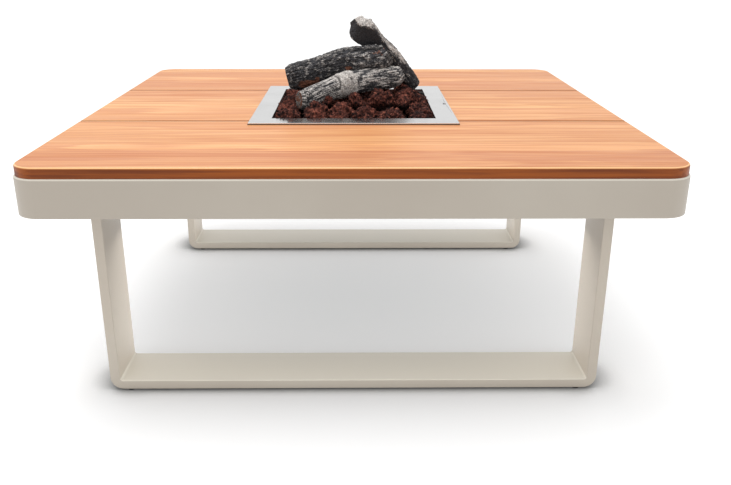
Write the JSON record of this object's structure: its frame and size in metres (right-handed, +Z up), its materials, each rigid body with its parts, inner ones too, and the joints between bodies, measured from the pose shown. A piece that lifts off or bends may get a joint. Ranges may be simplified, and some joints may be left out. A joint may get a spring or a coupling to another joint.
{
  "type": "fire pit table",
  "caption": "Square low gas fire pit table: teak plank top, metal apron and U leg frames, drop-in stainless burner tray with lava rock over a grate and a ceramic log set.",
  "frame": {"origin": "on the floor under the middle of the square top", "axes": "+X along the planks to the right, +Y to the back, +Z up"},
  "size_m": [1.2, 1.2, 0.7087],
  "materials": {
    "teak": "oiled teak boards, straight grain, eased edges",
    "powder_coat": "satin warm grey powder coat",
    "bearer_coat": "satin dark grey powder coat",
    "glide_plastic": "matt black moulded plastic",
    "stainless": "satin stainless sheet",
    "burner_steel": "heat-tinted stainless tube",
    "grate_iron": "matt black heat-proof coating",
    "zinc_steel": "zinc-plated steel",
    "brass": "machined brass",
    "aluminium": "drawn aluminium tube",
    "knob_plastic": "matt black moulded plastic",
    "lead_rubber": "red silicone insulation",
    "electrode_ceramic": "white glazed insulator",
    "lava_stone": "rough porous dark red-brown lava rock",
    "log_ceramic": "charred bark with pale ash, cast ceramic fibre"
  },
  "bodies": {
    "table": {"air_mixer": "brass", "apron_corner_back_left": "powder_coat", "apron_corner_back_right": "powder_coat", "apron_corner_front_left": "powder_coat", "apron_corner_front_right": "powder_coat", "apron_rail_back": "powder_coat", "apron_rail_front": "powder_coat", "apron_rail_left": "powder_coat", "apron_rail_right": "powder_coat", "bearer_inner_left": "bearer_coat", "bearer_inner_right": "bearer_coat", "bearer_outer_left": "bearer_coat", "bearer_outer_right": "bearer_coat", "bracket_screws": "zinc_steel", "burner_lock_nut": "zinc_steel", "burner_tray": "stainless", "control_bracket": "bearer_coat", "gas_feed_tube": "aluminium", "gas_inlet_tail": "brass", "gas_jet": "brass", "gas_valve": "brass", "grate_lugs": "stainless", "h_burner": "burner_steel", "igniter_body": "knob_plastic", "igniter_nut": "knob_plastic", "ignition_lead": "lead_rubber", "leg_bolts": "zinc_steel", "leg_foot_bar_back": "powder_coat", "leg_foot_bar_front": "powder_coat", "leg_glides_back": "glide_plastic", "leg_glides_front": "glide_plastic", "leg_plate_back_left": "bearer_coat", "leg_plate_back_right": "bearer_coat", "leg_plate_front_left": "bearer_coat", "leg_plate_front_right": "bearer_coat", "leg_upright_back_left": "powder_coat", "leg_upright_back_right": "powder_coat", "leg_upright_front_left": "powder_coat", "leg_upright_front_right": "powder_coat", "plank_back": "teak", "plank_front": "teak", "plank_middle_left": "teak", "plank_middle_right": "teak", "plank_screws": "zinc_steel", "rim_screw": "stainless", "spark_electrode": "electrode_ceramic", "valve_nut": "brass"},
    "media_bed": {"media_grate": "grate_iron", "lava_rocks_lower": "lava_stone", "lava_rocks_upper": "lava_stone"},
    "log_front": {"log_front": "log_ceramic"},
    "log_back": {"log_back": "log_ceramic"},
    "log_top": {"log_top": "log_ceramic"},
    "push_sleeve": {"push_sleeve": "brass"},
    "control_knob": {"valve_stem": "zinc_steel", "control_knob": "knob_plastic", "knob_grub_screw": "zinc_steel"},
    "igniter_button": {"igniter_button": "knob_plastic"}
  },
  "joints": [
    {"name": "media_bed_lift", "type": "slide", "parent": "table", "child": "media_bed", "axis": [0, 0, 1], "range_m": [0, 0.07]},
    {"name": "log_front_lift", "type": "slide", "parent": "media_bed", "child": "log_front", "axis": [0, 0, 1], "range_m": [0, 0.07]},
    {"name": "log_back_lift", "type": "slide", "parent": "log_front", "child": "log_back", "axis": [0, 0, 1], "range_m": [0, 0.08]},
    {"name": "log_top_lift", "type": "slide", "parent": "log_back", "child": "log_top", "axis": [0, 0, 1], "range_m": [0, 0.16]},
    {"name": "knob_push", "type": "slide", "parent": "table", "child": "push_sleeve", "axis": [-1, 0, 0], "range_m": [0, 0.003], "stiffness_N_per_m": 800, "springref_m": -0.003},
    {"name": "knob_turn", "type": "hinge", "parent": "push_sleeve", "child": "control_knob", "pos_m": [0.56, 0, 0.385], "axis": [1, 0, 0], "range_deg": [0, 180]},
    {"name": "igniter_press", "type": "slide", "parent": "table", "child": "igniter_button", "axis": [-1, 0, 0], "range_m": [0, 0.004], "stiffness_N_per_m": 800, "springref_m": -0.003}
  ]
}
